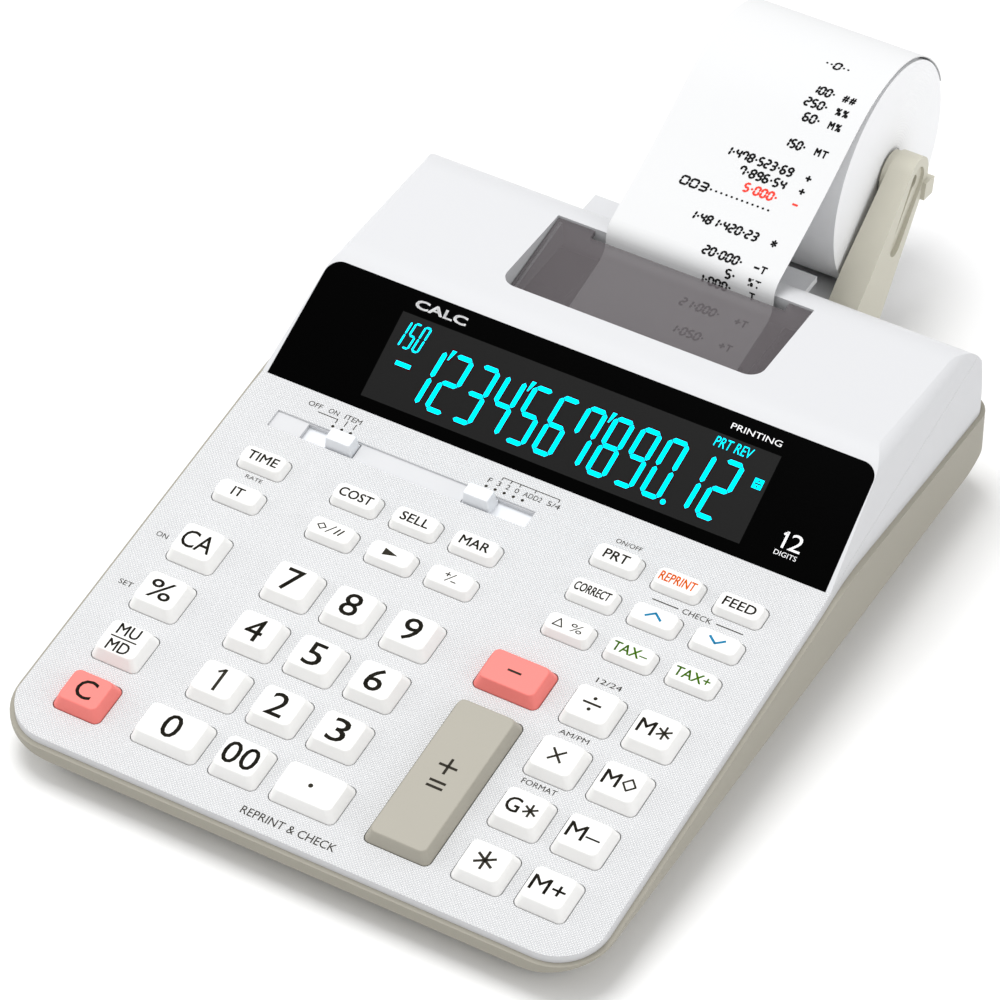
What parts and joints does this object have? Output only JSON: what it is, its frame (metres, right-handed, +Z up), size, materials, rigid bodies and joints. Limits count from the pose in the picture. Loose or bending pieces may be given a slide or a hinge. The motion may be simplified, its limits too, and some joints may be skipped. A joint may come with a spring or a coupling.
{
  "type": "printing desk calculator",
  "caption": "Desk calculator with a sloping key panel, raised display, tape printer under a smoked cover, and a paper roll on two arms behind.",
  "frame": {"origin": "on the table, under the middle of the whole object's length and width", "axes": "+Z up, +Y from the keys towards the paper roll, +X to the user's right"},
  "size_m": [0.195, 0.3394, 0.0921],
  "materials": {
    "case_white": "fine dimpled texture on the key panel, satin elsewhere",
    "base_greige": "satin",
    "key_white": "satin",
    "key_red": "satin",
    "key_greige": "satin",
    "knob_white": "satin",
    "bezel_black": "gloss",
    "module_grey": "matt",
    "board_green": "satin",
    "mat_grey": "matt",
    "cover_smoke": "clear smoked, gloss",
    "frame_black": "matt",
    "roller_rubber": "matt",
    "wheel_black": "matt",
    "paper_white": "matt paper",
    "arm_greige": "satin",
    "foot_rubber": "matt"
  },
  "bodies": {
    "case": {"top_case": "case_white", "bottom_case": "base_greige", "display_window": "bezel_black", "display_module": "module_grey", "circuit_board": "board_green", "key_dome_sheet": "mat_grey", "printer_frame": "frame_black", "rubber_feet": "foot_rubber", "roll_holder": "arm_greige", "paper_strip": "paper_white"},
    "key_clear_all": {"key_clear_all": "key_white"},
    "key_percent": {"key_percent": "key_white"},
    "key_markup": {"key_markup": "key_white"},
    "key_clear": {"key_clear": "key_red"},
    "key_7": {"key_7": "key_white"},
    "key_8": {"key_8": "key_white"},
    "key_9": {"key_9": "key_white"},
    "key_4": {"key_4": "key_white"},
    "key_5": {"key_5": "key_white"},
    "key_6": {"key_6": "key_white"},
    "key_1": {"key_1": "key_white"},
    "key_2": {"key_2": "key_white"},
    "key_3": {"key_3": "key_white"},
    "key_0": {"key_0": "key_white"},
    "key_00": {"key_00": "key_white"},
    "key_point": {"key_point": "key_white"},
    "key_minus": {"key_minus": "key_red"},
    "key_plus_equals": {"key_plus_equals": "key_greige"},
    "key_divide": {"key_divide": "key_white"},
    "key_multiply": {"key_multiply": "key_white"},
    "key_grand_total": {"key_grand_total": "key_white"},
    "key_total": {"key_total": "key_white"},
    "key_memory_total": {"key_memory_total": "key_white"},
    "key_memory_subtotal": {"key_memory_subtotal": "key_white"},
    "key_memory_minus": {"key_memory_minus": "key_white"},
    "key_memory_plus": {"key_memory_plus": "key_white"},
    "key_print": {"key_print": "key_white"},
    "key_reprint": {"key_reprint": "key_white"},
    "key_feed": {"key_feed": "key_white"},
    "key_time": {"key_time": "key_white"},
    "key_cost": {"key_cost": "key_white"},
    "key_sell": {"key_sell": "key_white"},
    "key_margin": {"key_margin": "key_white"},
    "key_correct": {"key_correct": "key_white"},
    "key_up": {"key_up": "key_white"},
    "key_down": {"key_down": "key_white"},
    "key_item": {"key_item": "key_white"},
    "key_subtotal": {"key_subtotal": "key_white"},
    "key_backspace": {"key_backspace": "key_white"},
    "key_sign": {"key_sign": "key_white"},
    "key_delta_percent": {"key_delta_percent": "key_white"},
    "key_tax_minus": {"key_tax_minus": "key_white"},
    "key_tax_plus": {"key_tax_plus": "key_white"},
    "power_switch": {"power_switch": "knob_white"},
    "point_switch": {"point_switch": "knob_white"},
    "printer_cover": {"printer_cover": "cover_smoke"},
    "battery_cover": {"battery_cover": "base_greige"},
    "paper_roll": {"paper_roll": "paper_white"},
    "feed_roller": {"feed_roller": "roller_rubber"},
    "print_wheel": {"print_wheel": "wheel_black"}
  },
  "joints": [
    {"name": "key_clear_all_press", "type": "slide", "parent": "case", "child": "key_clear_all", "axis": [0, 0.145, -0.9894], "range_m": [0, 0.002], "stiffness_N_per_m": 250, "springref_m": -0.001},
    {"name": "key_percent_press", "type": "slide", "parent": "case", "child": "key_percent", "axis": [0, 0.145, -0.9894], "range_m": [0, 0.002], "stiffness_N_per_m": 250, "springref_m": -0.001},
    {"name": "key_markup_press", "type": "slide", "parent": "case", "child": "key_markup", "axis": [0, 0.145, -0.9894], "range_m": [0, 0.002], "stiffness_N_per_m": 250, "springref_m": -0.001},
    {"name": "key_clear_press", "type": "slide", "parent": "case", "child": "key_clear", "axis": [0, 0.145, -0.9894], "range_m": [0, 0.002], "stiffness_N_per_m": 250, "springref_m": -0.001},
    {"name": "key_7_press", "type": "slide", "parent": "case", "child": "key_7", "axis": [0, 0.145, -0.9894], "range_m": [0, 0.002], "stiffness_N_per_m": 250, "springref_m": -0.001},
    {"name": "key_8_press", "type": "slide", "parent": "case", "child": "key_8", "axis": [0, 0.145, -0.9894], "range_m": [0, 0.002], "stiffness_N_per_m": 250, "springref_m": -0.001},
    {"name": "key_9_press", "type": "slide", "parent": "case", "child": "key_9", "axis": [0, 0.145, -0.9894], "range_m": [0, 0.002], "stiffness_N_per_m": 250, "springref_m": -0.001},
    {"name": "key_4_press", "type": "slide", "parent": "case", "child": "key_4", "axis": [0, 0.145, -0.9894], "range_m": [0, 0.002], "stiffness_N_per_m": 250, "springref_m": -0.001},
    {"name": "key_5_press", "type": "slide", "parent": "case", "child": "key_5", "axis": [0, 0.145, -0.9894], "range_m": [0, 0.002], "stiffness_N_per_m": 250, "springref_m": -0.001},
    {"name": "key_6_press", "type": "slide", "parent": "case", "child": "key_6", "axis": [0, 0.145, -0.9894], "range_m": [0, 0.002], "stiffness_N_per_m": 250, "springref_m": -0.001},
    {"name": "key_1_press", "type": "slide", "parent": "case", "child": "key_1", "axis": [0, 0.145, -0.9894], "range_m": [0, 0.002], "stiffness_N_per_m": 250, "springref_m": -0.001},
    {"name": "key_2_press", "type": "slide", "parent": "case", "child": "key_2", "axis": [0, 0.145, -0.9894], "range_m": [0, 0.002], "stiffness_N_per_m": 250, "springref_m": -0.001},
    {"name": "key_3_press", "type": "slide", "parent": "case", "child": "key_3", "axis": [0, 0.145, -0.9894], "range_m": [0, 0.002], "stiffness_N_per_m": 250, "springref_m": -0.001},
    {"name": "key_0_press", "type": "slide", "parent": "case", "child": "key_0", "axis": [0, 0.145, -0.9894], "range_m": [0, 0.002], "stiffness_N_per_m": 250, "springref_m": -0.001},
    {"name": "key_00_press", "type": "slide", "parent": "case", "child": "key_00", "axis": [0, 0.145, -0.9894], "range_m": [0, 0.002], "stiffness_N_per_m": 250, "springref_m": -0.001},
    {"name": "key_point_press", "type": "slide", "parent": "case", "child": "key_point", "axis": [0, 0.145, -0.9894], "range_m": [0, 0.002], "stiffness_N_per_m": 250, "springref_m": -0.001},
    {"name": "key_minus_press", "type": "slide", "parent": "case", "child": "key_minus", "axis": [0, 0.145, -0.9894], "range_m": [0, 0.002], "stiffness_N_per_m": 250, "springref_m": -0.001},
    {"name": "key_plus_equals_press", "type": "slide", "parent": "case", "child": "key_plus_equals", "axis": [0, 0.145, -0.9894], "range_m": [0, 0.002], "stiffness_N_per_m": 250, "springref_m": -0.001},
    {"name": "key_divide_press", "type": "slide", "parent": "case", "child": "key_divide", "axis": [0, 0.145, -0.9894], "range_m": [0, 0.002], "stiffness_N_per_m": 250, "springref_m": -0.001},
    {"name": "key_multiply_press", "type": "slide", "parent": "case", "child": "key_multiply", "axis": [0, 0.145, -0.9894], "range_m": [0, 0.002], "stiffness_N_per_m": 250, "springref_m": -0.001},
    {"name": "key_grand_total_press", "type": "slide", "parent": "case", "child": "key_grand_total", "axis": [0, 0.145, -0.9894], "range_m": [0, 0.002], "stiffness_N_per_m": 250, "springref_m": -0.001},
    {"name": "key_total_press", "type": "slide", "parent": "case", "child": "key_total", "axis": [0, 0.145, -0.9894], "range_m": [0, 0.002], "stiffness_N_per_m": 250, "springref_m": -0.001},
    {"name": "key_memory_total_press", "type": "slide", "parent": "case", "child": "key_memory_total", "axis": [0, 0.145, -0.9894], "range_m": [0, 0.002], "stiffness_N_per_m": 250, "springref_m": -0.001},
    {"name": "key_memory_subtotal_press", "type": "slide", "parent": "case", "child": "key_memory_subtotal", "axis": [0, 0.145, -0.9894], "range_m": [0, 0.002], "stiffness_N_per_m": 250, "springref_m": -0.001},
    {"name": "key_memory_minus_press", "type": "slide", "parent": "case", "child": "key_memory_minus", "axis": [0, 0.145, -0.9894], "range_m": [0, 0.002], "stiffness_N_per_m": 250, "springref_m": -0.001},
    {"name": "key_memory_plus_press", "type": "slide", "parent": "case", "child": "key_memory_plus", "axis": [0, 0.145, -0.9894], "range_m": [0, 0.002], "stiffness_N_per_m": 250, "springref_m": -0.001},
    {"name": "key_print_press", "type": "slide", "parent": "case", "child": "key_print", "axis": [0, 0.145, -0.9894], "range_m": [0, 0.0015], "stiffness_N_per_m": 250, "springref_m": -0.001},
    {"name": "key_reprint_press", "type": "slide", "parent": "case", "child": "key_reprint", "axis": [0, 0.145, -0.9894], "range_m": [0, 0.0015], "stiffness_N_per_m": 250, "springref_m": -0.001},
    {"name": "key_feed_press", "type": "slide", "parent": "case", "child": "key_feed", "axis": [0, 0.145, -0.9894], "range_m": [0, 0.0015], "stiffness_N_per_m": 250, "springref_m": -0.001},
    {"name": "key_time_press", "type": "slide", "parent": "case", "child": "key_time", "axis": [0, 0.145, -0.9894], "range_m": [0, 0.0015], "stiffness_N_per_m": 250, "springref_m": -0.001},
    {"name": "key_cost_press", "type": "slide", "parent": "case", "child": "key_cost", "axis": [0, 0.145, -0.9894], "range_m": [0, 0.0015], "stiffness_N_per_m": 250, "springref_m": -0.001},
    {"name": "key_sell_press", "type": "slide", "parent": "case", "child": "key_sell", "axis": [0, 0.145, -0.9894], "range_m": [0, 0.0015], "stiffness_N_per_m": 250, "springref_m": -0.001},
    {"name": "key_margin_press", "type": "slide", "parent": "case", "child": "key_margin", "axis": [0, 0.145, -0.9894], "range_m": [0, 0.0015], "stiffness_N_per_m": 250, "springref_m": -0.001},
    {"name": "key_correct_press", "type": "slide", "parent": "case", "child": "key_correct", "axis": [0, 0.145, -0.9894], "range_m": [0, 0.0015], "stiffness_N_per_m": 250, "springref_m": -0.001},
    {"name": "key_up_press", "type": "slide", "parent": "case", "child": "key_up", "axis": [0, 0.145, -0.9894], "range_m": [0, 0.0015], "stiffness_N_per_m": 250, "springref_m": -0.001},
    {"name": "key_down_press", "type": "slide", "parent": "case", "child": "key_down", "axis": [0, 0.145, -0.9894], "range_m": [0, 0.0015], "stiffness_N_per_m": 250, "springref_m": -0.001},
    {"name": "key_item_press", "type": "slide", "parent": "case", "child": "key_item", "axis": [0, 0.145, -0.9894], "range_m": [0, 0.0015], "stiffness_N_per_m": 250, "springref_m": -0.001},
    {"name": "key_subtotal_press", "type": "slide", "parent": "case", "child": "key_subtotal", "axis": [0, 0.145, -0.9894], "range_m": [0, 0.0015], "stiffness_N_per_m": 250, "springref_m": -0.001},
    {"name": "key_backspace_press", "type": "slide", "parent": "case", "child": "key_backspace", "axis": [0, 0.145, -0.9894], "range_m": [0, 0.0015], "stiffness_N_per_m": 250, "springref_m": -0.001},
    {"name": "key_sign_press", "type": "slide", "parent": "case", "child": "key_sign", "axis": [0, 0.145, -0.9894], "range_m": [0, 0.0015], "stiffness_N_per_m": 250, "springref_m": -0.001},
    {"name": "key_delta_percent_press", "type": "slide", "parent": "case", "child": "key_delta_percent", "axis": [0, 0.145, -0.9894], "range_m": [0, 0.0015], "stiffness_N_per_m": 250, "springref_m": -0.001},
    {"name": "key_tax_minus_press", "type": "slide", "parent": "case", "child": "key_tax_minus", "axis": [0, 0.145, -0.9894], "range_m": [0, 0.0015], "stiffness_N_per_m": 250, "springref_m": -0.001},
    {"name": "key_tax_plus_press", "type": "slide", "parent": "case", "child": "key_tax_plus", "axis": [0, 0.145, -0.9894], "range_m": [0, 0.0015], "stiffness_N_per_m": 250, "springref_m": -0.001},
    {"name": "power_switch_slide", "type": "slide", "parent": "case", "child": "power_switch", "axis": [1, 0, 0], "range_m": [-0.006, 0]},
    {"name": "point_switch_slide", "type": "slide", "parent": "case", "child": "point_switch", "axis": [1, 0, 0], "range_m": [0, 0.012]},
    {"name": "printer_cover_lift", "type": "slide", "parent": "case", "child": "printer_cover", "axis": [0, 0, 1], "range_m": [0, 0.03]},
    {"name": "battery_cover_slide", "type": "slide", "parent": "case", "child": "battery_cover", "axis": [0, 1, 0], "range_m": [0, 0.01]},
    {"name": "paper_roll_turn", "type": "hinge", "parent": "case", "child": "paper_roll", "pos_m": [0.0038, 0.1337, 0.0541], "axis": [1, 0, 0], "continuous": true},
    {"name": "feed_roller_turn", "type": "hinge", "parent": "case", "child": "feed_roller", "pos_m": [0.0038, 0.0378, 0.0405], "axis": [1, 0, 0], "continuous": true},
    {"name": "print_wheel_turn", "type": "hinge", "parent": "case", "child": "print_wheel", "pos_m": [0.0038, 0.0233, 0.038], "axis": [1, 0, 0], "continuous": true}
  ],
  "couplings": [
    {"joint": "print_wheel_turn", "follows": "feed_roller_turn", "ratio": -1}
  ]
}
